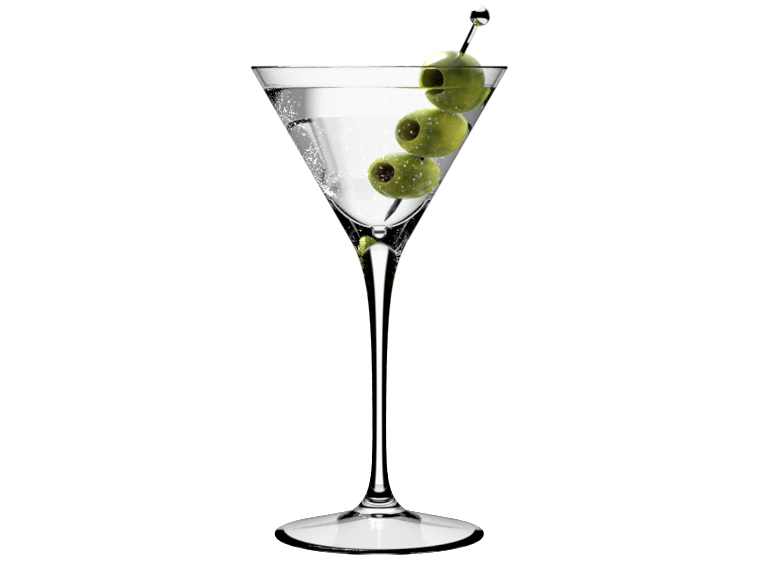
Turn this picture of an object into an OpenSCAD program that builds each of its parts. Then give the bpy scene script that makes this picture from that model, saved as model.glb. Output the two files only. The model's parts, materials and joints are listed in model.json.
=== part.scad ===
// Martini cocktail: a stemmed cone glass, the drink, and three pitted olives on a steel pick.
// Millimetres, +Z up, origin at the middle of the foot's underside, the drinker's side at -Y.

/* [Glass] */
// Height from the table to the rim
glass_height = 184; // [160:1:215]
// Outer radius of the rim
rim_radius = 50; // [45:0.5:56]
// Angle between the bowl's outer wall and the axis
bowl_angle = 29.84; // [27:0.1:32]
// Wall thickness at the rim, measured level
rim_wall = 1.9; // [1.2:0.1:3]
// Height of the rim's rounded top
rim_round = 0.5; // [0.3:0.05:0.9]
// Radius of the stem at its thinnest
stem_radius = 2.85; // [2.4:0.05:4]
// How slowly the stem widens into the bowl
bowl_flare = 14.7; // [11:0.1:18]
// How slowly the stem widens into the foot
foot_flare = 5.8; // [4.5:0.1:7]
// Radius at which the stem lands on the foot
collar_radius = 12; // [9:0.1:14]
// Outer radius of the foot
foot_radius = 41.3; // [34:0.1:50]
// Thickness of the foot's rounded edge
foot_edge = 2.1; // [1.6:0.1:3]
// Rise of the foot's upper face towards the stem
foot_angle = 13.8; // [10:0.1:16]
// Width of the flat ring that the foot rests on
rest_ring = 3.2; // [2:0.1:5]
// Radius of the rounded middle of the hollow under the foot
hollow_round = 10; // [6:0.5:14]

/* [Inside of the bowl] */
// Height of the bowl's floor above the point that its outer cone would run down to
floor_rise = 27.27; // [25:0.01:32]
// Radius of curvature of the bowl's floor
floor_radius = 7.6; // [6:0.1:9]
// Height over which the thick base thins to the rim's wall
thin_run = 10; // [8:0.1:20]
// Radius of the small well in the floor
well_radius = 1.8; // [1.4:0.1:2.4]
// Depth of the well below the floor
well_depth = 4.2; // [3:0.1:6]
// Width of the rounded lip round the well
well_lip = 1.5; // [1:0.1:2]

/* [Drink] */
// Distance from the rim down to the surface of the drink
level_drop = 7.8; // [6:0.1:14]

/* [Pick] */
// Radius of the pick's shaft
pick_radius = 1.1; // [0.8:0.05:1.5]
// Radius of the ball on its end
ball_radius = 3.9; // [3:0.1:5]
// Length from the tip to the middle of the ball
pick_length = 87.3; // [82:0.1:105]
// Length of the sharpened tip
point_length = 5; // [3:0.5:8]
// Radius of the tip's blunt end
point_radius = 0.15; // [0.1:0.05:0.3]
// How much more upright the pick stands than the bowl's wall
pick_margin = 0.7; // [0.3:0.1:3]
// Direction the pick leans to, seen from above
lean_turn = -31.1; // [-60:0.1:0]
// Distance of the tip from the axis
tip_offset = 1.8; // [1:0.1:4]
// Height of the tip above the bowl's floor, as the olives carry the pick
tip_height = 2.3; // [1:0.1:4]

/* [Olives] */
// Radius, half length, and how far the middle lies outside the pick: lowest olive
olive_low = [9.8, 12.8, -2.6];
// The same for the middle olive
olive_mid = [10.4, 14.6, -1.2];
// The same for the top olive
olive_top = [10.6, 15.6, 0.9];
// Distance along the pick from its tip to the lowest olive's middle
low_along = 21.2; // [20:0.1:26]
// Gap between neighbouring olives
olive_gap = 0.1; // [0.05:0.05:1]
// Radius of the pit hole
hole_radius = 4.2; // [3:0.1:5]
// How far the pit hole stops short of the closed end
closed_end = 6; // [5:0.5:8]
// Fullness of an olive's ends, where 1 is an ellipse
end_fullness = 0.74; // [0.6:0.01:1]
// Gap between an olive and the bowl
seat_gap = 0.25; // [0.1:0.05:0.6]

/* [Hidden] */
$fn = 96;
wall_slope = tan(bowl_angle);
level = glass_height - level_drop;
flare_start = glass_height - (rim_radius - stem_radius - wall_slope * bowl_flare) / wall_slope;
edge_round = foot_edge / 2;
foot_slope = tan(foot_angle);
ring_inner = foot_radius - edge_round - rest_ring;
collar_z = foot_edge + (foot_radius - collar_radius) * foot_slope;

// Outer radius at height z: straight cone, then two flares that die away along the stem
function cone_r(z) = rim_radius - wall_slope * (glass_height - z);
function upper_r(z) = z > flare_start ? cone_r(z)
    : stem_radius + wall_slope * bowl_flare * exp((z - flare_start) / bowl_flare);
function lower_r(z) = (collar_radius - stem_radius) * exp((collar_z - z) / foot_flare);
function outer_r(z) = upper_r(z) + lower_r(z);

// Inner radius at height z: a parabola for the floor, then a wall that thins to the rim's
floor_height = glass_height - rim_radius / wall_slope + floor_rise;
floor_end_r = floor_radius / wall_slope;
floor_end = floor_height + floor_end_r * floor_end_r / (2 * floor_radius);
base_wall = cone_r(floor_end) - floor_end_r;
function ease(t) = t < 0 ? 0 : t > 1 ? 1 : t * t * (3 - 2 * t);
function wall_at(z) = base_wall + (rim_wall - base_wall) * ease((z - floor_end) / thin_run);
function inner_r(z) = z < floor_end ? sqrt(max(0, 2 * floor_radius * (z - floor_height)))
    : cone_r(z) - wall_at(z);
function floor_z(r) = floor_height + r * r / (2 * floor_radius);

// Profile of the inside from the level z_top down to the bottom of the well
lip_r = well_radius + well_lip;
lip_z = floor_z(lip_r);
well_bottom = floor_height - well_depth;
function inside_wall(z_top) = [
    for (i = [0 : 11]) let (z = z_top + (floor_end + thin_run - z_top) * i / 12) [inner_r(z), z],
    for (i = [0 : 17]) let (z = floor_end + thin_run * (1 - i / 18)) [inner_r(z), z],
    for (i = [0 : 13]) let (r = floor_end_r + (lip_r - floor_end_r) * i / 14) [r, floor_z(r)]
];
function inside_well() = [
    for (a = [0 : 15 : 90]) [lip_r - well_lip * sin(a), lip_z - well_lip * (1 - cos(a))],
    for (a = [0 : 15 : 90]) [well_radius * cos(a), well_bottom + well_radius * (1 - sin(a))]
];
function inside(z_top) = concat(inside_wall(z_top), inside_well());

// Outside: the hollow under the foot, its edge, then up the stem and the bowl to the rim
function hollow_z(r) = r > hollow_round ? foot_slope * (ring_inner - r)
    : foot_slope * (ring_inner - hollow_round / 2 - r * r / (2 * hollow_round));
function underside() = [
    for (i = [0 : 5]) let (r = hollow_round * i / 5) [r, hollow_z(r)],
    [ring_inner, 0]
];
function foot_rim() = [
    for (a = [-90 : 15 : 90 - foot_angle])
        [foot_radius - edge_round * (1 - cos(a)), edge_round * (1 + sin(a))]
];
// The points crowd towards the foot, where the outline turns fastest
crowding = 1.8;
stem_mid = flare_start - bowl_flare * 4;
function outside() = [
    for (i = [0 : 30]) let (z = collar_z + (stem_mid - collar_z) * pow(i / 30, crowding))
        [outer_r(z), z],
    for (i = [1 : 30]) let (z = stem_mid + (flare_start - stem_mid) * i / 30) [outer_r(z), z]
];
function rim() = [
    for (a = [0 : 15 : 165]) let (z = glass_height - rim_round)
        [cone_r(z) - rim_wall / 2 * (1 - cos(a)), z + rim_round * sin(a)]
];

// The pick leans in a plane through the axis, nearly in line with the bowl's wall
lean = bowl_angle - pick_margin;
tip_z = floor_z(tip_offset) + tip_height;
function pick_r(z) = tip_offset + (z - tip_z) * tan(lean);
function on_pick(s) = tip_z + s * cos(lean);

// Furthest an olive's middle may lie from the axis at height z before it touches the bowl:
// each round section of it, y along from the middle, is tried against the wall behind it
function section_r(y, size) = size[0] * pow(1 - pow(y / size[1], 2), end_fullness / 2);
function seat_r(z, size) = min([
    for (y = [0 : 1 : size[1] - 1]) let (r = section_r(y, size))
        for (a = [-90 : 5 : 60]) let (w = inner_r(z + r * sin(a)))
            sqrt(max(0, w * w - y * y)) - r * cos(a)
]) - seat_gap;
function olive_r(z, size) = min(pick_r(z) + size[2], seat_r(z, size));

// Rise to the next olive, so that two round sections whose middles are `apart` across and
// `rise` up, where apart = shift + rise * tan(lean), touch but for the gap
function rise_to(shift, touching) = let (k = tan(lean), q = 1 + k * k)
    (sqrt(q * touching * touching - shift * shift) - k * shift) / q;
low_z = on_pick(low_along);
low_shift = pick_r(low_z) + olive_mid[2] - olive_r(low_z, olive_low);
mid_z = low_z + rise_to(low_shift, olive_low[0] + olive_mid[0] + olive_gap);
top_z = mid_z + rise_to(olive_top[2] - olive_mid[2], olive_mid[0] + olive_top[0] + olive_gap);

module glass() {
    color([0.86, 0.9, 0.92, 0.4])
        rotate_extrude() polygon(concat(
            underside(), foot_rim(), outside(), rim(), inside(glass_height - rim_round)));
}

module pick_shape() {
    rotate([0, 0, lean_turn]) translate([tip_offset, 0, tip_z]) rotate([0, lean, 0]) {
        cylinder(h = point_length, r1 = point_radius, r2 = pick_radius);
        translate([0, 0, point_length]) cylinder(h = pick_length - point_length, r = pick_radius);
        translate([0, 0, pick_length]) sphere(r = ball_radius);
    }
}

// Outline of a pitted olive along its own axis: closed end, open end, then down the pit hole
function mouth_angle(size) = asin(pow(hole_radius / size[0], 1 / end_fullness));
function skin(size) = let (mouth = mouth_angle(size)) [
    for (i = [1 : 20]) let (a = 180 + (mouth - 180) * i / 20)
        [size[0] * pow(sin(a), end_fullness), size[1] * cos(a)]
];
function pit_hole(size) = [
    for (b = [0 : 15 : 75])
        [hole_radius * cos(b), closed_end + hole_radius * (1 - sin(b)) - size[1]]
];
function olive_outline(size) = concat(
    [[0, -size[1]]], skin(size), pit_hole(size), [[0, closed_end - size[1]]]);

// An olive lying level across the pick, its open end towards the drinker
module olive_shape(z, size) {
    rotate([0, 0, lean_turn]) translate([olive_r(z, size), 0, z]) rotate([90, 0, 0])
        rotate_extrude() polygon(olive_outline(size));
}

module olive(z, size) {
    color([0.5, 0.56, 0.14]) difference() {
        olive_shape(z, size);
        pick_shape();
    }
}

module pick() {
    color([0.75, 0.76, 0.78]) pick_shape();
}

module drink() {
    color([0.93, 0.94, 0.9, 0.5]) difference() {
        rotate_extrude() polygon(concat([[0, level]], inside(level)));
        olive_shape(low_z, olive_low);
        olive_shape(mid_z, olive_mid);
        olive_shape(top_z, olive_top);
        pick_shape();
    }
}

glass();
drink();
olive(low_z, olive_low);
olive(mid_z, olive_mid);
olive(top_z, olive_top);
pick();
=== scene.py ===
import json
import math
import bpy
import numpy as np
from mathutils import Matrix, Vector

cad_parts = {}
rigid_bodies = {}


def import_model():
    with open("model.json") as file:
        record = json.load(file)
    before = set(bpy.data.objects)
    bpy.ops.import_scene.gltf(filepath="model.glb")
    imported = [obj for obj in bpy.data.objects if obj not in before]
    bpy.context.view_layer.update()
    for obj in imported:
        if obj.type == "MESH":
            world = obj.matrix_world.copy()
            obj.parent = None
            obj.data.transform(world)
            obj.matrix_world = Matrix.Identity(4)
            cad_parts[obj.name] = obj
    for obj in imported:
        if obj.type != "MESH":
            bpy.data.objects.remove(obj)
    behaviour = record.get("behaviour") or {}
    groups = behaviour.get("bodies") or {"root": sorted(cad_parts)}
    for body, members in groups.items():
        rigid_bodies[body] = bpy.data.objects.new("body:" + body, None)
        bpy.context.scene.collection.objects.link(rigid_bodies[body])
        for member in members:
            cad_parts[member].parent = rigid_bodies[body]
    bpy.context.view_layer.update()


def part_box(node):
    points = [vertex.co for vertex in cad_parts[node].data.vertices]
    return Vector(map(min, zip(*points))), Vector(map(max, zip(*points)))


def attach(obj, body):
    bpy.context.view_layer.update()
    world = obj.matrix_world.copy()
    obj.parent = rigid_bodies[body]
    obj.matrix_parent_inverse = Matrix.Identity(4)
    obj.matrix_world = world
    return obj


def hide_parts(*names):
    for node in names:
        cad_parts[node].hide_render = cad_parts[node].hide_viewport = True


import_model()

# The martini cocktail: glass, drink, three pitted olives on a steel pick, and the bubbles in the drink.
# Shapes are worked out in millimetres with the part's own formulas, and put into meshes in metres.
scene = bpy.context.scene
rng = np.random.default_rng(7)


def boxOf(node):
    # Lowest and highest corner of a CAD node in millimetres.
    low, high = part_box(node)
    return np.array(low) * 1000, np.array(high) * 1000


def addPiece(name, points, faces, material, sharpAngle=None):
    # Points in millimetres become a smooth mesh in metres (0.001 x point) that rides on the root body.
    mesh = bpy.data.meshes.new(name)
    mesh.from_pydata((np.asarray(points) * 0.001).tolist(), [], faces)
    mesh.polygons.foreach_set("use_smooth", np.ones(len(mesh.polygons), bool))
    if sharpAngle is not None:
        mesh.set_sharp_from_angle(angle=math.radians(sharpAngle))
    mesh.update()
    piece = bpy.data.objects.new(name, mesh)
    scene.collection.objects.link(piece)
    mesh.materials.append(material)
    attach(piece, "root")
    return piece


def gridFaces(rows, columns, offset=0):
    # Quads between neighbouring rows of a grid whose columns close round.
    row = np.arange(rows - 1)[:, None] * columns
    column = np.arange(columns)[None, :]
    after = (column + 1) % columns
    quads = np.stack([row + column, row + after, row + columns + after, row + columns + column], -1)
    return (quads.reshape(-1, 4) + offset).tolist()


def closedRing(rings):
    # Rings of shape (rows, columns, 3) whose first and last row are each shrunk to one pole point.
    # The faces are turned round if the volume they enclose, a sum of a . (b x c) / 6, comes out negative.
    rows, columns = rings.shape[:2]
    points = np.vstack([rings[0, :1], rings[1:-1].reshape(-1, 3), rings[-1, :1]])
    faces = gridFaces(rows - 2, columns, 1)
    now = np.arange(columns)
    after = (now + 1) % columns
    last = 1 + (rows - 3) * columns
    faces += np.stack([np.zeros(columns, int), 1 + after, 1 + now], -1).tolist()
    faces += np.stack([np.full(columns, len(points) - 1), last + now, last + after], -1).tolist()
    fan = np.array([face[:3] for face in faces]
                   + [[face[0], face[2], face[3]] for face in faces if len(face) == 4])
    a, b, c = points[fan[:, 0]], points[fan[:, 1]], points[fan[:, 2]]
    if np.sum(a * np.cross(b, c)) < 0:
        faces = [face[::-1] for face in faces]
    return points, faces


def spin(outline, steps):
    # A profile of (radius, height) rows carried round the upright axis: x = r cos t, y = r sin t.
    turn = np.linspace(0, 2 * np.pi, steps, endpoint=False)
    radius, height = outline[:, :1], outline[:, 1:]
    return np.stack([radius * np.cos(turn), radius * np.sin(turn), height + 0 * turn], -1)


def newMaterial(name, **settings):
    # A Principled material; each setting is put straight on the shader's own socket.
    material = bpy.data.materials.new(name)
    material.use_nodes = True
    shader = material.node_tree.nodes["Principled BSDF"]
    for label, value in settings.items():
        shader.inputs[label.replace("_", " ")].default_value = value
    return material, material.node_tree, shader


def addNode(tree, kind, inputs=None, **settings):
    # A new node; an input that is given another node's socket is linked to it, any other input is set.
    node = tree.nodes.new(kind)
    for key, value in settings.items():
        setattr(node, key, value)
    for key, value in (inputs or {}).items():
        if isinstance(value, bpy.types.NodeSocket):
            tree.links.new(value, node.inputs[key])
        else:
            node.inputs[key].default_value = value
    return node


def ramp(tree, factor, stops):
    # Colour along a factor from a list of (place, colour).
    node = addNode(tree, "ShaderNodeValToRGB", {"Fac": factor})
    elements = node.color_ramp.elements
    while len(elements) < len(stops):
        elements.new(0.5)
    for element, (place, colour) in zip(elements, stops):
        element.position = place
        element.color = (*colour, 1)
    return node.outputs["Color"]


def surfaceNoiseGroup():
    # Unevenness shared by glass, drink, skin and steel: fine noise as a height and as a mask from 0 to 1.
    group = bpy.data.node_groups.new("surfaceNoise", "ShaderNodeTree")
    for label, kind, way in (("Scale", "NodeSocketFloat", "INPUT"), ("Stretch", "NodeSocketVector", "INPUT"),
                             ("Height", "NodeSocketFloat", "OUTPUT"), ("Mask", "NodeSocketFloat", "OUTPUT")):
        group.interface.new_socket(label, in_out=way, socket_type=kind)
    start, end = group.nodes.new("NodeGroupInput"), group.nodes.new("NodeGroupOutput")
    place = addNode(group, "ShaderNodeTexCoord")
    stretched = addNode(group, "ShaderNodeVectorMath", {
        0: place.outputs["Object"], 1: start.outputs["Stretch"]}, operation="MULTIPLY")
    noise = addNode(group, "ShaderNodeTexNoise", {
        "Vector": stretched.outputs[0], "Scale": start.outputs["Scale"], "Detail": 4.0, "Roughness": 0.55})
    spread = addNode(group, "ShaderNodeMapRange", {
        "Value": noise.outputs["Fac"], "From Min": 0.35, "From Max": 0.65, "To Min": 0.0, "To Max": 1.0})
    group.links.new(noise.outputs["Fac"], end.inputs["Height"])
    group.links.new(spread.outputs["Result"], end.inputs["Mask"])
    return group


surfaceNoise = surfaceNoiseGroup()


def noiseOf(tree, scale, stretch=(1, 1, 1)):
    # The shared noise with its own scale, and a stretch along the axes where the grain is long or level.
    node = addNode(tree, "ShaderNodeGroup", node_tree=surfaceNoise)
    node.inputs["Scale"].default_value = scale
    node.inputs["Stretch"].default_value = stretch
    return node


def bumpFrom(tree, shader, height, strength, distance):
    # Tilts the shader's surface by a height: full height at distance metres, eased by strength.
    bump = addNode(tree, "ShaderNodeBump", {"Height": height, "Strength": strength, "Distance": distance})
    tree.links.new(bump.outputs["Normal"], shader.inputs["Normal"])


black = (0.0, 0.0, 0.0, 1)
white = (1.0, 1.0, 1.0, 1)
glassLook = {
    "colour": (0.985, 0.99, 0.99, 1), "ior": 1.5,
    "waveScale": 40, "waveStretch": (1, 1, 0.25), "waviness": 0.012, "waveHeight": 0.0004,
}


def makeGlassMaterial():
    # Clear glass with the long waves that drawing the stem leaves in it.
    material, tree, shader = newMaterial(
        "clearGlass", Base_Color=glassLook["colour"], Roughness=0.0, IOR=glassLook["ior"],
        Transmission_Weight=1.0, Specular_Tint=black)
    drawn = noiseOf(tree, glassLook["waveScale"], glassLook["waveStretch"])
    bumpFrom(tree, shader, drawn.outputs["Height"], glassLook["waviness"], glassLook["waveHeight"])
    return material


drinkLook = {
    "colour": (0.99, 0.992, 0.985, 1), "ior": 1.36,
    "streakScale": 260, "streakStretch": (1, 1, 4), "streaks": 0.02, "streakHeight": 0.0003,
}


def makeDrinkMaterial():
    # Clear drink with level streaks where the spirits mix.
    material, tree, shader = newMaterial(
        "clearDrink", Base_Color=drinkLook["colour"], Roughness=0.0, IOR=drinkLook["ior"],
        Transmission_Weight=1.0, Specular_Tint=black)
    streaks = noiseOf(tree, drinkLook["streakScale"], drinkLook["streakStretch"])
    bumpFrom(tree, shader, streaks.outputs["Height"], drinkLook["streaks"], drinkLook["streakHeight"])
    return material


# The bubbles' white share and their sparkle glow are painted glints.
bubbleLook = {
    "ior": 1.33, "clear": 0.45, "sparkle": 0.3,
    "filmScale": 900, "film": 0.02, "filmHeight": 0.0001,
}


def makeBubbleMaterial():
    # Half clear, half white, with a little glow in place of the many small glints of a real bubble: the white
    # and the glow are painted glints.
    material, tree, shader = newMaterial(
        "bubble", Base_Color=white, Roughness=0.05, IOR=bubbleLook["ior"],
        Transmission_Weight=bubbleLook["clear"],
        Emission_Color=white, Emission_Strength=bubbleLook["sparkle"])
    film = noiseOf(tree, bubbleLook["filmScale"])
    bumpFrom(tree, shader, film.outputs["Height"], bubbleLook["film"], bubbleLook["filmHeight"])
    return material


oliveLook = {
    "ripe": (0.58, 0.57, 0.045), "green": (0.32, 0.375, 0.025), "shade": (0.15, 0.19, 0.014),
    "flesh": (0.50, 0.48, 0.07), "wet": 0.6, "roughness": 0.30, "patchScale": 95, "poreScale": 1300,
    "pores": ((0.80, 0.80, 0.72), (1, 1, 1), (1.06, 1.05, 1.0)), "poreBump": 0.25, "poreHeight": 0.0002,
    "grainScale": 1100, "grainDark": 0.35, "grainLight": 2.2, "lipStart": 0.02,
}


def makeOliveMaterial(name, pitShadeColour, pitDepths):
    # Skin mottled from ripe yellow to green with fine pores; the flesh shows at the lip, and deeper in the
    # hole it darkens to a painted shade colour.
    material, tree, shader = newMaterial(
        name, Roughness=oliveLook["roughness"],
        Coat_Weight=oliveLook["wet"], Coat_Roughness=0.08, Coat_IOR=1.35,
        Subsurface_Weight=0.12, Subsurface_Radius=(0.004, 0.004, 0.0012), Subsurface_Scale=0.4)
    patches = noiseOf(tree, oliveLook["patchScale"])
    skin = ramp(tree, patches.outputs["Mask"],
                [(0.0, oliveLook["shade"]), (0.45, oliveLook["green"]), (1.0, oliveLook["ripe"])])
    pores = noiseOf(tree, oliveLook["poreScale"])
    speck = ramp(tree, pores.outputs["Mask"], list(zip((0.0, 0.35, 1.0), oliveLook["pores"])))
    freckled = addNode(tree, "ShaderNodeMix", {0: 1.0, 6: skin, 7: speck},
                       data_type="RGBA", blend_type="MULTIPLY")
    grains = noiseOf(tree, oliveLook["grainScale"])
    # Grain over the painted shade colour of the pit hole.
    dark = tuple(oliveLook["grainDark"] * c for c in pitShadeColour)
    light = tuple(min(1, oliveLook["grainLight"] * c) for c in pitShadeColour)
    rough = ramp(tree, grains.outputs["Mask"], [(0.0, dark), (0.6, pitShadeColour), (1.0, light)])
    # The "pit" attribute is 0 on the skin, grows over the lip and is 1 at the bottom of the hole.
    depth = addNode(tree, "ShaderNodeAttribute", attribute_name="pit").outputs["Fac"]
    lip = addNode(tree, "ShaderNodeMapRange",
                  {"Value": depth, "From Min": oliveLook["lipStart"], "From Max": pitDepths[0]})
    cut = addNode(tree, "ShaderNodeMix", {0: lip.outputs["Result"], 6: freckled.outputs[2],
                                          7: (*oliveLook["flesh"], 1)}, data_type="RGBA")
    # Deeper in the hole the flesh colour turns to the painted shade colour.
    inner = addNode(tree, "ShaderNodeMapRange",
                    {"Value": depth, "From Min": pitDepths[0], "From Max": pitDepths[1]})
    whole = addNode(tree, "ShaderNodeMix", {0: inner.outputs["Result"], 6: cut.outputs[2], 7: rough},
                    data_type="RGBA")
    tree.links.new(whole.outputs[2], shader.inputs["Base Color"])
    bumpFrom(tree, shader, pores.outputs["Height"], oliveLook["poreBump"], oliveLook["poreHeight"])
    return material


steelLook = {
    "colour": (0.86, 0.86, 0.86, 1),
    "scratchScale": 700, "scratchStretch": (1, 1, 0.08), "polish": (0.02, 0.07),
    "groundFrom": 0.145, "groundTo": 0.135, "ground": 0.3,
}


def makeSteelMaterial():
    # Polished steel with fine scratches; from groundFrom down to groundTo metres it turns to a ground point.
    material, tree, shader = newMaterial("polishedSteel", Base_Color=steelLook["colour"], Metallic=1.0)
    scratches = noiseOf(tree, steelLook["scratchScale"], steelLook["scratchStretch"])
    smooth, dull = steelLook["polish"]
    shine = addNode(tree, "ShaderNodeMapRange",
                    {"Value": scratches.outputs["Mask"], "To Min": smooth, "To Max": dull})
    place = addNode(tree, "ShaderNodeTexCoord")
    height = addNode(tree, "ShaderNodeSeparateXYZ", {0: place.outputs["Object"]})
    ground = addNode(tree, "ShaderNodeMapRange", {
        "Value": height.outputs["Z"], "From Min": steelLook["groundFrom"], "From Max": steelLook["groundTo"],
        "To Min": 0.0, "To Max": steelLook["ground"]})
    rough = addNode(tree, "ShaderNodeMath", {0: shine.outputs["Result"], 1: ground.outputs["Result"]},
                    operation="ADD")
    tree.links.new(rough.outputs[0], shader.inputs["Roughness"])
    return material


glassMaterial, drinkMaterial = makeGlassMaterial(), makeDrinkMaterial()
bubbleMaterial, steelMaterial = makeBubbleMaterial(), makeSteelMaterial()
print("materials ready")

# Heights of the glass are counted from the table, radii from its upright axis, both in millimetres.
glass = {
    "rimRadius": 50.0, "bowlAngle": 29.84, "rimWall": 1.9, "rimRound": 0.5,
    "stemRadius": 2.85, "bowlFlare": 14.7, "footFlare": 5.8, "collarRadius": 12.0,
    "footRadius": 41.3, "footEdge": 2.1, "footAngle": 13.8, "restRing": 3.2, "hollowRound": 10.0,
    "floorRise": 27.27, "floorRadius": 7.6, "thinRun": 10.0,
    "wellRadius": 1.8, "wellDepth": 4.2, "wellLip": 1.5, "steps": 176,
}
rimHeight = boxOf("glass")[1][2]
level = boxOf("drink")[1][2]
wallSlope = math.tan(math.radians(glass["bowlAngle"]))
footSlope = math.tan(math.radians(glass["footAngle"]))
floorHeight = rimHeight - glass["rimRadius"] / wallSlope + glass["floorRise"]
flareStart = rimHeight - (glass["rimRadius"] - glass["stemRadius"]) / wallSlope + glass["bowlFlare"]
collarHeight = glass["footEdge"] + (glass["footRadius"] - glass["collarRadius"]) * footSlope
floorEndRadius = glass["floorRadius"] / wallSlope
floorEnd = floorHeight + floorEndRadius ** 2 / (2 * glass["floorRadius"])


def coneRadius(z):
    # Straight cone whose radius is the rim's at the rim's height.
    return glass["rimRadius"] - wallSlope * (rimHeight - z)


def outerRadius(z):
    # The cone above, then two flares that die away as exp(-distance / flare) along the stem.
    upper = np.where(z > flareStart, coneRadius(z), glass["stemRadius"] + wallSlope * glass["bowlFlare"]
                     * np.exp((np.minimum(z, flareStart) - flareStart) / glass["bowlFlare"]))
    lower = (glass["collarRadius"] - glass["stemRadius"]) * np.exp((collarHeight - z) / glass["footFlare"])
    return upper + lower


def innerRadius(z):
    # Parabola for the floor, then the cone less a wall that eases from the base's to the rim's.
    baseWall = coneRadius(floorEnd) - floorEndRadius
    t = np.clip((z - floorEnd) / glass["thinRun"], 0, 1)
    wall = baseWall + (glass["rimWall"] - baseWall) * t * t * (3 - 2 * t)
    floor = np.sqrt(np.maximum(0, 2 * glass["floorRadius"] * (z - floorHeight)))
    return np.where(z < floorEnd, floor, coneRadius(z) - wall)


def insideOutline(top):
    # From the given height down the wall, over the floor and the well's lip, to the well's bottom.
    bend = floorEnd + glass["thinRun"]
    heights = np.concatenate([top - (top - bend) * np.linspace(0, 1, 60)[:-1] ** 1.6,
                              np.linspace(bend, floorEnd, 40)[:-1]])
    wall = np.stack([innerRadius(heights), heights], -1)
    lipRadius = glass["wellRadius"] + glass["wellLip"]
    across = np.linspace(floorEndRadius, lipRadius, 34)[:-1]
    floor = np.stack([across, floorHeight + across ** 2 / (2 * glass["floorRadius"])], -1)
    lipHeight = floorHeight + lipRadius ** 2 / (2 * glass["floorRadius"])
    a = np.linspace(0, math.pi / 2, 14)
    lip = np.stack([lipRadius - glass["wellLip"] * np.sin(a),
                    lipHeight - glass["wellLip"] * (1 - np.cos(a))], -1)
    bottom = floorHeight - glass["wellDepth"]
    well = np.stack([glass["wellRadius"] * np.cos(a), bottom + glass["wellRadius"] * (1 - np.sin(a))], -1)
    well[-1, 0] = 0
    return np.vstack([wall, floor, lip, well])


def glassOutline():
    # Hollow under the foot, resting ring, rounded edge, slope, stem, bowl, rounded rim, then the inside.
    edge = glass["footEdge"] / 2
    ringInner = glass["footRadius"] - edge - glass["restRing"]
    hollow = np.linspace(0, ringInner, 40)
    rounded = glass["hollowRound"] / 2 + hollow ** 2 / (2 * glass["hollowRound"])
    dome = footSlope * (ringInner - np.where(hollow > glass["hollowRound"], hollow, rounded))
    a = np.linspace(-math.pi / 2, math.pi / 2 - math.radians(glass["footAngle"]), 24)
    footRound = np.stack([glass["footRadius"] - edge * (1 - np.cos(a)), edge * (1 + np.sin(a))], -1)
    s = np.linspace(0, 1, 26)[1:-1]
    s = s * s * (3 - 2 * s)
    collar = np.array([glass["collarRadius"], collarHeight])
    slope = footRound[-1] + (collar - footRound[-1]) * s[:, None]
    stemMid = flareStart - glass["bowlFlare"] * 4
    rimBase = rimHeight - glass["rimRound"]
    heights = np.concatenate([collarHeight + (stemMid - collarHeight) * np.linspace(0, 1, 60)[:-1] ** 1.8,
                              np.linspace(stemMid, flareStart, 60)[:-1],
                              rimBase - (rimBase - flareStart) * np.linspace(1, 0, 50) ** 1.6])
    side = np.stack([outerRadius(heights), heights], -1)
    b = np.linspace(0, math.pi, 22)[1:-1]
    rim = np.stack([coneRadius(rimBase) - glass["rimWall"] / 2 * (1 - np.cos(b)),
                    rimBase + glass["rimRound"] * np.sin(b)], -1)
    return np.vstack([np.stack([hollow, dome], -1), footRound, slope, side, rim, insideOutline(rimBase)])


points, faces = closedRing(spin(glassOutline(), glass["steps"]))
glassPiece = addPiece("stemGlass", points, faces, glassMaterial)
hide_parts("glass")
glassPiece.visible_shadow = False  # the lamps reach the fruit through the clear wall
print("glass ready:", len(points), "points")

# The pick leans towards leanTurn degrees from the x axis, by lean degrees from upright.
pick = {
    "radius": 1.1, "ball": 3.9, "length": 87.3, "point": 5.0, "tip": 0.15,
    "leanTurn": -31.1, "lean": 29.14, "steps": 40,
}
turn = math.radians(pick["leanTurn"])
lean = math.radians(pick["lean"])
outward = np.array([math.cos(turn), math.sin(turn), 0])
pickWay = outward * math.sin(lean) + np.array([0, 0, 1]) * math.cos(lean)
pickLow, pickHigh = boxOf("pick")
ballMiddle = np.array([pickHigh[0] - pick["ball"], pickLow[1] + pick["ball"], pickHigh[2] - pick["ball"]])
pickTip = ballMiddle - pickWay * pick["length"]


def makePick():
    # A pointed rod and a ball as one profile carried round the pick's own axis.
    # Near the point the rod's radius is tip + (radius - tip) * (distance / point) ^ 0.9.
    rod, ball = pick["radius"], pick["ball"]
    neck = pick["length"] - math.sqrt(ball ** 2 - rod ** 2)
    a = np.linspace(math.asin(rod / ball), math.pi, 40)
    sphere = np.stack([ball * np.sin(a), pick["length"] - ball * np.cos(a)], -1)[1:]
    sphere[-1, 0] = 0
    along = np.concatenate([np.linspace(0, pick["point"], 8),
                            np.linspace(pick["point"] + 0.2, neck - 0.2, 30)])
    taper = np.clip(along / pick["point"], 0, 1)
    rodPart = np.stack([pick["tip"] + (rod - pick["tip"]) * taper ** 0.9, along], -1)
    fillet = np.array([[rod + 0.02, neck - 0.1], [rod + 0.1, neck], [rod + 0.28, neck + 0.06]])
    outline = np.vstack([[[0, -0.02]], rodPart, fillet, sphere[1:]])
    local = spin(outline, pick["steps"])
    side = np.cross(pickWay, [0, 0, 1.0])
    side /= np.linalg.norm(side)
    up = np.cross(side, pickWay)
    world = pickTip + local[..., :1] * side + local[..., 1:2] * up + local[..., 2:] * pickWay
    points, faces = closedRing(world)
    piece = addPiece("olivePick", points, faces, steelMaterial, 40)
    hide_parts("pick")


makePick()
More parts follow.
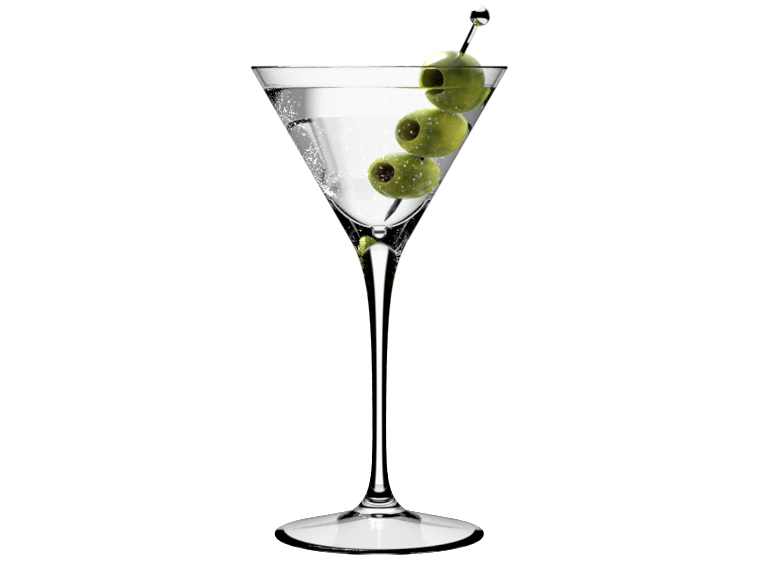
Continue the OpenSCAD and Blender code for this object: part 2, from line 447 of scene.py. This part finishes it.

# Each olive's half length, painted shade colour inside its pit hole, where its flesh turns to that colour,
# and random seed.
olives = {
    "olive_low": {"halfLength": 12.8, "pit": (0.15, 0.065, 0.014), "pitDepths": (0.30, 0.42), "seed": 3},
    "olive_mid": {"halfLength": 14.6, "pit": (0.20, 0.18, 0.028), "pitDepths": (0.30, 0.50), "seed": 5},
    "olive_top": {"halfLength": 15.6, "pit": (0.20, 0.185, 0.028), "pitDepths": (0.30, 0.50), "seed": 9},
}
oliveShape = {
    "hole": 4.2, "closedEnd": 6.0, "fullness": 0.74, "lip": 1.0, "steps": 96, "skinRows": 60, "lipShare": 0.3,
    "uneven": 0.030, "waveSize": 17, "holeUneven": 0.25, "holeWave": 1.7, "holeSeed": 4,
    "pucker": 0.7, "puckerReach": 2.1,
}
openWay = np.array([math.sin(turn), -math.cos(turn), 0])


def oliveOutline(radius, half):
    # Skin r = R sin(a)^f, x = h cos(a) from the closed end, a rounded lip, then down the pit hole.
    hole, lip, fullness = oliveShape["hole"], oliveShape["lip"], oliveShape["fullness"]
    mouth = math.asin(((hole + lip) / radius) ** (1 / fullness))
    a = math.pi + (mouth - math.pi) * np.linspace(0, 1, oliveShape["skinRows"])
    skin = np.stack([radius * np.sin(a) ** fullness, half * np.cos(a)], -1)
    skin[0, 0] = 0
    last, slope = skin[-1], (skin[-1] - skin[-2]) / np.linalg.norm(skin[-1] - skin[-2])
    corner = last + slope * (lip * 0.9)
    low = np.array([hole, last[1] - lip * 1.2])
    t = np.linspace(0, 1, 14)[1:, None]
    lipPart = (1 - t) ** 2 * last + 2 * t * (1 - t) * corner + t * t * low
    depth = oliveShape["closedEnd"] + hole - half
    shaft = np.stack([np.full(24, hole), np.linspace(low[1], depth, 25)[1:]], -1)
    b = np.linspace(0, math.pi / 2, 12)[1:]
    end = np.stack([hole * np.cos(b), depth - hole * np.sin(b)], -1)
    end[-1, 0] = 0
    outline = np.vstack([skin, lipPart, shaft, end])
    share = oliveShape["lipShare"]
    downHole = np.linspace(0, 1, len(shaft) + len(end))
    inside = np.concatenate([np.zeros(len(skin)), share * t[:, 0], share + (1 - share) * downHole])
    return outline, inside


def waves(points, size, seed):
    # Soft unevenness: the mean of six sine waves of the given size in directions that the seed fixes.
    draw = np.random.default_rng(seed)
    ways = draw.normal(size=(6, 3))
    ways /= np.linalg.norm(ways, axis=1)[:, None]
    return np.sin(points @ ways.T * (2 * np.pi / size) + draw.uniform(0, 6.28, 6)).mean(-1)


def makeOlive(node, facts):
    # The outline carried round the olive's level axis, made slightly uneven, and drawn in round the pick
    # by pucker * exp(-(distance / reach) squared).
    low, high = boxOf(node)
    middle, radius = (low + high) / 2, (high[2] - low[2]) / 2
    outline, inside = oliveOutline(radius, facts["halfLength"])
    local = spin(outline, oliveShape["steps"])
    flat = local.reshape(-1, 3)
    skinWaves = waves(flat, oliveShape["waveSize"], facts["seed"]).reshape(local.shape[:2])
    holeWaves = waves(flat, oliveShape["holeWave"], oliveShape["holeSeed"]).reshape(local.shape[:2])
    scale = 1 + oliveShape["uneven"] * skinWaves
    rough = np.where(inside > oliveShape["lipShare"], oliveShape["holeUneven"], 0)[:, None] * holeWaves
    ring = np.hypot(local[..., 0], local[..., 1])
    spread = np.where(ring > 1e-6, (ring * scale + rough) / np.maximum(ring, 1e-6), 1)[..., None]
    up = np.array([0, 0, 1.0])
    side = np.cross(openWay, up)
    world = middle + local[..., :1] * spread * side + local[..., 1:2] * spread * up + local[..., 2:] * openWay
    offset = world - pickTip
    away = offset - (offset @ pickWay)[..., None] * pickWay
    distance = np.linalg.norm(away, axis=-1)
    outer = world - middle
    onSkin = inside[:, None] < 0.01
    pull = oliveShape["pucker"] * np.exp(-(distance / oliveShape["puckerReach"]) ** 2) * onSkin
    world = world - pull[..., None] * outer / np.linalg.norm(outer, axis=-1, keepdims=True)
    points, faces = closedRing(world)
    material = makeOliveMaterial(node.replace("olive_", "skin"), facts["pit"], facts["pitDepths"])
    piece = addPiece(node.replace("_", "") + "Fruit", points, faces, material)
    mask = np.concatenate([[0], np.repeat(inside[1:-1], local.shape[1]), [1]])
    attribute = piece.data.attributes.new("pit", "FLOAT", "POINT")
    attribute.data.foreach_set("value", mask.astype(np.float32))
    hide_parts(node)
    return {"middle": middle, "radius": radius, "half": facts["halfLength"], "surface": world}


fruit = {node: makeOlive(node, facts) for node, facts in olives.items()}
print("pick and olives ready")

# How far the finished drink reaches into the wall, and how it climbs at the wall and at the top olive.
drink = {
    "intoWall": 0.05, "wallRise": 0.35, "wallReach": 1.2, "oliveRise": 0.5, "oliveReach": 1.2,
    "calmEdge": 3.0, "steps": 224,
}


def makeDrink():
    # Rings run out over the surface and then down the wall: height = level + rise * exp(-distance / reach).
    topRadius = float(innerRadius(np.array(level + drink["wallRise"]))) + drink["intoWall"]
    s = np.linspace(0, 1, 110)
    radii = topRadius * (1 - (1 - s) ** 1.5)
    wallRise = drink["wallRise"] * np.exp(-(topRadius - radii) / drink["wallReach"])
    top = spin(np.stack([radii, level + wallRise], -1), drink["steps"])
    seat = fruit["olive_top"]
    cutRadius = math.sqrt(max(1, seat["radius"] ** 2 - (level - seat["middle"][2]) ** 2))
    shrink = cutRadius / seat["radius"]
    offset = top - seat["middle"]
    along, across = offset @ openWay, offset @ np.cross(openWay, [0, 0, 1.0])
    fromOlive = (np.hypot(along / (seat["half"] * shrink), across / cutRadius) - 1) * cutRadius
    rise = drink["oliveRise"] * np.exp(-np.maximum(fromOlive, 0) / drink["oliveReach"])
    top[..., 2] += rise * np.clip((topRadius - radii) / drink["calmEdge"], 0, 1)[:, None]
    below = insideOutline(level + drink["wallRise"])[1:]
    below[:, 0] += drink["intoWall"]
    below[-1] = [0, below[-1, 1] - drink["intoWall"]]
    rings = np.concatenate([top, spin(below, drink["steps"])])
    points, faces = closedRing(rings)
    piece = addPiece("martiniDrink", points, faces, drinkMaterial, 35)
    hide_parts("drink")
    piece.visible_shadow = False


makeDrink()

# Counts of bubbles, where they sit, and their radii in millimetres as (smallest, spread, power of the draw).
bubbles = {
    "wallCount": 2900, "wallLow": 138, "wallTop": 1, "wallSize": (0.09, 0.26, 3),
    "crowdShare": 0.88, "crowdSpread": 0.36, "patchSize": 14, "patchSeed": 11,
    "skinCount": 550, "holeCount": 25, "oliveTop": 0.6, "oliveSize": (0.07, 0.17, 2.5),
    "looseCount": 130, "looseLow": 140, "looseTop": 2,
    "bottomCount": 420, "bottomLow": 127, "bottomHigh": 141, "fromWall": 1.5, "looseSize": (0.05, 0.12, 3),
    "columns": 8, "rows": 6,
}


def unitBall(rows, columns):
    # A ball of radius 1 as rings: x = sin a cos t, y = sin a sin t, z = cos a.
    a = np.linspace(0, math.pi, rows)
    t = np.linspace(0, 2 * math.pi, columns, endpoint=False)
    return np.stack([np.outer(np.sin(a), np.cos(t)), np.outer(np.sin(a), np.sin(t)),
                     np.repeat(np.cos(a)[:, None], columns, 1)], -1)


def joinedBeads(name, middles, radii):
    # Copies of one small ball, point = middle + radius * ball point, joined into one piece.
    ball, ballFaces = closedRing(unitBall(bubbles["rows"], bubbles["columns"]))
    points = middles[:, None] + radii[:, None, None] * ball
    quads = np.array([face for face in ballFaces if len(face) == 4])
    triangles = np.array([face for face in ballFaces if len(face) == 3])
    shift = (np.arange(len(middles)) * len(ball))[:, None, None]
    faces = (quads + shift).reshape(-1, 4).tolist() + (triangles + shift).reshape(-1, 3).tolist()
    addPiece(name, points.reshape(-1, 3), faces, bubbleMaterial)


def bubbleRadii(count, size):
    # Many small and few large: smallest + spread * u ^ power, with u even between 0 and 1.
    smallest, spread, power = size
    return smallest + spread * rng.uniform(0, 1, count) ** power


def ringPlaces(radii, around, heights):
    # Points at a distance and an angle from the upright axis: x = r cos t, y = r sin t.
    return np.stack([radii * np.cos(around), radii * np.sin(around), heights], -1)


def makeWallBubbles():
    # Just inside the wall, crowded on one side. Three places are drawn for each bubble wanted, and soft
    # waves over the wall decide which of them stay, so that the bubbles come in patches.
    tries = bubbles["wallCount"] * 3
    top = level - bubbles["wallTop"]
    heights = top - (level - bubbles["wallLow"]) * rng.uniform(0, 1, tries) ** 0.9
    crowded = rng.uniform(size=tries) < bubbles["crowdShare"]
    crowd = math.pi + rng.normal(0, bubbles["crowdSpread"], tries)
    around = np.where(crowded, crowd, rng.uniform(0, 2 * math.pi, tries))
    patch = waves(ringPlaces(30, around, heights), bubbles["patchSize"], bubbles["patchSeed"])
    keep = rng.uniform(-0.5, 0.5, tries) < patch
    heights, around = heights[keep][:bubbles["wallCount"]], around[keep][:bubbles["wallCount"]]
    radii = bubbleRadii(len(heights), bubbles["wallSize"])
    joinedBeads("wallBubbles", ringPlaces(innerRadius(heights) - radii * 1.1, around, heights), radii)


def makeOliveBubbles():
    # On the skin and in the pit holes of the olives, where they are under the drink.
    middles = []
    skinRows = oliveShape["skinRows"]
    for facts in fruit.values():
        skin = facts["surface"][6:skinRows].reshape(-1, 3)
        onSkin = skin[rng.choice(len(skin), bubbles["skinCount"], replace=False)]
        hole = facts["surface"][skinRows + 2:skinRows + 35].reshape(-1, 3)
        inHole = hole[rng.choice(len(hole), bubbles["holeCount"], replace=False)]
        chosen = np.vstack([onSkin, inHole])
        middles.append(chosen[chosen[:, 2] < level - bubbles["oliveTop"]])
    middles = np.vstack(middles)
    joinedBeads("oliveBubbles", middles, bubbleRadii(len(middles), bubbles["oliveSize"]))


def makeLooseBubbles():
    # Floating through the drink, and more of them low down; sqrt(u) spreads them evenly over each level.
    upper = rng.uniform(bubbles["looseLow"], level - bubbles["looseTop"], bubbles["looseCount"])
    lower = rng.uniform(bubbles["bottomLow"], bubbles["bottomHigh"], bubbles["bottomCount"])
    heights = np.concatenate([upper, lower])
    reach = (innerRadius(heights) - bubbles["fromWall"]) * np.sqrt(rng.uniform(0, 1, len(heights)))
    around = rng.uniform(0, 2 * math.pi, len(heights))
    radii = bubbleRadii(len(heights), bubbles["looseSize"])
    joinedBeads("looseBubbles", ringPlaces(reach, around, heights), radii)


makeWallBubbles()
makeOliveBubbles()
makeLooseBubbles()
print("drink and bubbles ready")

# Camera, light and floor, in metres, degrees and watts.
studio = {
    "distance": 0.970, "eyeHeight": 0.184, "tilt": 4.953, "lens": 118.8, "sideStep": -0.00031,
    "domeRadius": 2.4, "domeHeight": 0.12,
    "floorReach": 6, "floorDrop": 0.0002, "floorColour": (0.9, 0.9, 0.9, 1), "floorGlow": 1.0,
    # Panels on the dome: across from, across to, softness, up from, up to, softness (degrees), brightness.
    # Across is counted from straight behind the drink to both sides.
    "throughPanels": (
        (-19, 21, 14, -52, 31, 6, 0.98), (-19, 24, 10, 14, 35.5, 3, 0.90), (20, 50, 12, 24, 37, 4, 0.75),
        (40, 70, 10, 28, 41, 4, 0.70), (56, 112, 12, 41, 49, 4, 0.80), (44, 199, 10, 12, 46, 6, 0.36),
        (16, 60, 10, -8, 20, 6, 0.30), (30, 46, 12, 2, 14, 6, 0.42), (14, 36, 12, 8, 24, 6, 0.75),
        (34, 46, 6, -22, -12, 4, 0.50), (62, 82, 8, -40, -22, 6, 0.70), (-19, 12, 6, 51, 62, 4, 0.90)),
    "shinePanels": (
        (-19, 199, 5, 48, 99, 8, 1.0), (-19, 50, 12, 0, 99, 8, 0.9), (-19, 199, 5, -99, -26, 6, 0.95)),
    # Black cards close to the glass darken the stem's sides and the thick base.
    # The stem card's pairs are for its lower and its upper part; widen is the middle and width of the change.
    "stemCard": {"radius": (0.017, 0.040), "slot": (11.0, 10.5), "slotSoft": (5.0, 3.0),
                 "widen": (0.036, 0.060), "low": 0.0085, "high": 0.137, "highSoft": 0.005},
    "sideCard": {"away": 0.060, "front": -0.060, "back": 0.012, "soft": 0.006, "low": 0.120, "high": 0.218},
    # Lamps for the fruit: place, aim, size in metres, power in watts, seen in the polish or not.
    "lamps": {
        "leftBox": ((-0.55, 0.35, 0.24), (0.02, 0, 0.16), 0.35, 9.0, False),
        "rightBox": ((0.55, 0.40, 0.20), (0.02, 0, 0.16), 0.35, 6.0, False),
        "topBox": ((-0.155, 0.286, 0.665), (0.027, -0.016, 0.18), 0.42, 7.5, True),
        "frontBox": ((-0.50, -0.60, 0.45), (0.02, 0, 0.16), 0.45, 1.0, False)},
}


panelLabels = ("Across From", "Across To", "Across Soft", "Up From", "Up To", "Up Soft", "Brightness")


def softPanelGroup():
    # Brightness of one panel: soft steps at its two sides and at its foot and top, multiplied together.
    group = bpy.data.node_groups.new("softPanel", "ShaderNodeTree")
    for label in ("Across", "Up") + panelLabels:
        group.interface.new_socket(label, in_out="INPUT", socket_type="NodeSocketFloat")
    group.interface.new_socket("Light", in_out="OUTPUT", socket_type="NodeSocketFloat")
    start, end = group.nodes.new("NodeGroupInput"), group.nodes.new("NodeGroupOutput")
    light = start.outputs["Brightness"]
    for way in ("Across", "Up"):
        value, soft = start.outputs[way], start.outputs[way + " Soft"]
        for first, second in ((value, start.outputs[way + " From"]), (start.outputs[way + " To"], value)):
            gap = addNode(group, "ShaderNodeMath", {0: first, 1: second}, operation="SUBTRACT")
            share = addNode(group, "ShaderNodeMath", {0: gap.outputs[0], 1: soft}, operation="DIVIDE")
            limits = {"Value": share.outputs[0], "From Min": -0.5, "From Max": 0.5}
            step = addNode(group, "ShaderNodeMapRange", limits, interpolation_type="SMOOTHSTEP")
            light = addNode(group, "ShaderNodeMath", {0: light, 1: step.outputs["Result"]},
                            operation="MULTIPLY").outputs[0]
    group.links.new(light, end.inputs["Light"])
    return group


softPanel = softPanelGroup()


def emptyMaterial(name):
    # A material with no nodes yet.
    material = bpy.data.materials.new(name)
    material.use_nodes = True
    material.node_tree.nodes.clear()
    return material, material.node_tree


def makeDomeMaterial(name, panels):
    # Glow by direction from the dome's middle: the brightest of its soft panels.
    # Across is the unsigned atan2(x, y) and up is asin(z), both in degrees.
    material, tree = emptyMaterial(name)
    place = addNode(tree, "ShaderNodeTexCoord")
    way = addNode(tree, "ShaderNodeVectorMath", {0: place.outputs["Object"]}, operation="NORMALIZE")
    parts = addNode(tree, "ShaderNodeSeparateXYZ", {0: way.outputs[0]})
    turned = addNode(tree, "ShaderNodeMath", {0: parts.outputs["X"], 1: parts.outputs["Y"]},
                     operation="ARCTAN2")
    sided = addNode(tree, "ShaderNodeMath", {0: turned.outputs[0]}, operation="ABSOLUTE")
    across = addNode(tree, "ShaderNodeMath", {0: sided.outputs[0]}, operation="DEGREES")
    lifted = addNode(tree, "ShaderNodeMath", {0: parts.outputs["Z"]}, operation="ARCSINE")
    up = addNode(tree, "ShaderNodeMath", {0: lifted.outputs[0]}, operation="DEGREES")
    glow = None
    for panel in panels:
        node = addNode(tree, "ShaderNodeGroup", node_tree=softPanel)
        tree.links.new(across.outputs[0], node.inputs["Across"])
        tree.links.new(up.outputs[0], node.inputs["Up"])
        for label, value in zip(panelLabels, panel):
            node.inputs[label].default_value = value
        light = node.outputs["Light"]
        if glow is not None:
            light = addNode(tree, "ShaderNodeMath", {0: glow, 1: light}, operation="MAXIMUM").outputs[0]
        glow = light
    shine = addNode(tree, "ShaderNodeEmission", {"Strength": glow})
    addNode(tree, "ShaderNodeOutputMaterial", {"Surface": shine.outputs[0]})
    return material


def makeDome(name, material):
    # A ball round the whole studio that the camera doesn't see itself.
    points, faces = closedRing(unitBall(33, 64) * studio["domeRadius"])
    mesh = bpy.data.meshes.new(name)
    mesh.from_pydata(points.tolist(), [], faces)
    mesh.polygons.foreach_set("use_smooth", np.ones(len(mesh.polygons), bool))
    mesh.materials.append(material)
    dome = bpy.data.objects.new(name, mesh)
    scene.collection.objects.link(dome)
    dome.location = (0, 0, studio["domeHeight"])
    dome.visible_camera = False
    dome.visible_diffuse = False
    return dome


def makeCard(name, grid, cover):
    # A thin black card over a grid of points; cover is 1 where it is black and falls to 0 at its soft edges.
    # It is seen only through the glass and the drink.
    rows, columns = grid.shape[:2]
    row, column = np.arange(rows - 1)[:, None] * columns, np.arange(columns - 1)[None, :]
    corner = row + column
    quads = np.stack([corner, corner + 1, corner + columns + 1, corner + columns], -1)
    mesh = bpy.data.meshes.new(name)
    mesh.from_pydata(grid.reshape(-1, 3).tolist(), [], quads.reshape(-1, 4).tolist())
    attribute = mesh.attributes.new("cover", "FLOAT", "POINT")
    attribute.data.foreach_set("value", cover.reshape(-1).astype(np.float32))
    material, tree = emptyMaterial(name)
    shade = addNode(tree, "ShaderNodeAttribute", attribute_name="cover")
    clear = addNode(tree, "ShaderNodeBsdfTransparent")
    dark = addNode(tree, "ShaderNodeEmission", {"Strength": 0.0})
    mixed = addNode(tree, "ShaderNodeMixShader", {
        0: shade.outputs["Fac"], 1: clear.outputs[0], 2: dark.outputs[0]})
    addNode(tree, "ShaderNodeOutputMaterial", {"Surface": mixed.outputs[0]})
    mesh.materials.append(material)
    card = bpy.data.objects.new(name, mesh)
    scene.collection.objects.link(card)
    card.visible_camera = card.visible_diffuse = card.visible_glossy = card.visible_shadow = False
    return card


def softStep(value, edge, soft):
    # Smooth rise from 0 to 1 over a width of soft about the edge: t t (3 - 2 t).
    t = np.clip((value - edge) / soft + 0.5, 0, 1)
    return t * t * (3 - 2 * t)


def makeStemCard():
    # A tube round the stem, wider from the middle up, with a slot behind it: x = R(z) sin t, y = R(z) cos t.
    facts = studio["stemCard"]
    turns = np.linspace(-180, 180, 361)[None, :]
    t = np.radians(turns)
    z = np.linspace(facts["low"], facts["high"] + facts["highSoft"], 160)[:, None]
    upper = softStep(z, *facts["widen"])
    pairs = [facts[key] for key in ("radius", "slot", "slotSoft")]
    radius, slot, soft = [low + (high - low) * upper for low, high in pairs]
    grid = np.stack([radius * np.sin(t), radius * np.cos(t), z + 0 * t], -1)
    cover = softStep(np.abs(turns), slot, soft) * softStep(-z, -facts["high"], facts["highSoft"])
    return makeCard("stemCard", grid, cover)


def makeSideCard(name, side):
    # An upright card beside the base of the bowl, at x = side * away, soft along its back edge.
    facts = studio["sideCard"]
    y = np.linspace(facts["front"], facts["back"] + facts["soft"], 60)[None, :]
    z = np.linspace(facts["low"], facts["high"], 12)[:, None]
    grid = np.stack([side * facts["away"] + 0 * y + 0 * z, y + 0 * z, z + 0 * y], -1)
    return makeCard(name, grid, softStep(-y, -facts["back"], facts["soft"]) + 0 * z)


def makeCamera():
    # Seen slightly from above, with a long lens.
    cameraData = bpy.data.cameras.new("camera")
    cameraData.sensor_width, cameraData.lens = 36, studio["lens"]
    camera = bpy.data.objects.new("camera", cameraData)
    scene.collection.objects.link(camera)
    scene.camera = camera
    camera.location = (studio["sideStep"], -studio["distance"], studio["eyeHeight"])
    camera.rotation_euler = (math.radians(90 - studio["tilt"]), 0, 0)
    return camera


def makeDomes():
    # One dome is seen only through the glass and the drink, the other only mirrored in steel and wet skin.
    through = makeDome("throughDome", makeDomeMaterial("throughGlow", studio["throughPanels"]))
    through.visible_glossy = False
    shine = makeDome("shineDome", makeDomeMaterial("shineGlow", studio["shinePanels"]))
    shine.visible_transmission = False
    polished = bpy.data.collections.new("polishedPieces")
    for piece in scene.objects:
        if piece.name.startswith("olive"):  # the fruit, the pick and the olives' own bubbles
            polished.objects.link(piece)
    shine.light_linking.receiver_collection = polished
    return [through, shine]


def holdCards(camera):
    # The cards stay round the glass and turn to the camera.
    holder = bpy.data.objects.new("cardHolder", None)
    scene.collection.objects.link(holder)
    facing = holder.constraints.new("LOCKED_TRACK")
    facing.target, facing.track_axis, facing.lock_axis = camera, "TRACK_NEGATIVE_Y", "LOCK_Z"
    for card in (makeStemCard(), makeSideCard("leftCard", -1), makeSideCard("rightCard", 1)):
        card.parent = holder


def makeLamp(name, place, aim, size, power, mirrored):
    # A square lamp that shines from its place to its aim.
    lampData = bpy.data.lights.new(name, "AREA")
    lampData.energy, lampData.size = power, size
    lamp = bpy.data.objects.new(name, lampData)
    scene.collection.objects.link(lamp)
    lamp.location = place
    lamp.rotation_euler = (Vector(aim) - Vector(place)).to_track_quat("-Z", "Y").to_euler()
    lamp.visible_glossy = mirrored
    lamp.visible_transmission = False
    return lamp


def makeFloor():
    # A pale floor just under the foot, which takes the shadows but isn't seen through or in the pieces.
    material = newMaterial("paleFloor", Base_Color=studio["floorColour"], Roughness=0.8,
                           Emission_Color=white, Emission_Strength=studio["floorGlow"])[0]
    reach, drop = studio["floorReach"], -studio["floorDrop"]
    corners = [(-reach, -reach, drop), (reach, -reach, drop), (reach, reach, drop), (-reach, reach, drop)]
    mesh = bpy.data.meshes.new("floor")
    mesh.from_pydata(corners, [], [(0, 1, 2, 3)])
    mesh.materials.append(material)
    floor = bpy.data.objects.new("floor", mesh)
    scene.collection.objects.link(floor)
    floor.visible_transmission = False
    floor.visible_glossy = False


def makeWhiteRoom():
    # White all round for the camera only; everything else is lit by the domes and the lamps.
    world = bpy.data.worlds.new("studio")
    scene.world = world
    world.use_nodes = True
    tree = world.node_tree
    seen = addNode(tree, "ShaderNodeLightPath")
    tree.links.new(seen.outputs["Is Camera Ray"], tree.nodes["Background"].inputs["Strength"])
    tree.nodes["Background"].inputs["Color"].default_value = white
    scene.view_settings.view_transform = "Standard"


def makeStudio():
    # The domes and the lamps are held by the camera, so that every side is lit like the front.
    camera = makeCamera()
    held = makeDomes()
    holdCards(camera)
    held += [makeLamp(name, *facts) for name, facts in studio["lamps"].items()]
    bpy.context.view_layer.update()
    for item in held:
        item.parent = camera
        item.matrix_parent_inverse = camera.matrix_world.inverted()
    makeFloor()
    makeWhiteRoom()


makeStudio()
print("studio ready")
